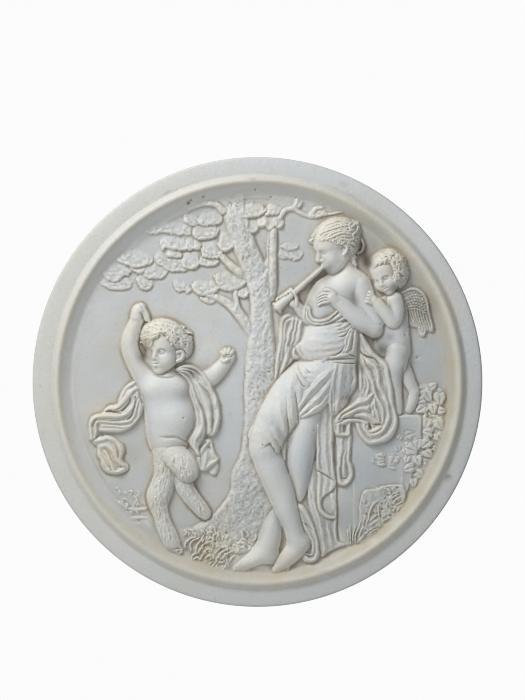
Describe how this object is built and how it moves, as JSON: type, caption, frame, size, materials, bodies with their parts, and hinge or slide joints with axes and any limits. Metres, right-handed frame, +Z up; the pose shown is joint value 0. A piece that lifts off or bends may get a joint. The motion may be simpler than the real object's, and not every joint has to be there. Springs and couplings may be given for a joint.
{
  "type": "bas-relief plaque",
  "caption": "Round cast-marble wall plaque with a raised bead and a bas-relief of a woman piping, a winged child, a dancing faun child and a tree",
  "frame": {"origin": "middle of the flat back, where the plaque lies against the wall", "axes": "+Y out of the back into the wall, the carved face looks along -Y, +Z up, +X to the viewer's right"},
  "size_m": [0.25, 0.0204, 0.25],
  "materials": {
    "marble": "satin cast marble"
  },
  "bodies": {
    "root": {"plaque": "marble"}
  },
  "joints": []
}
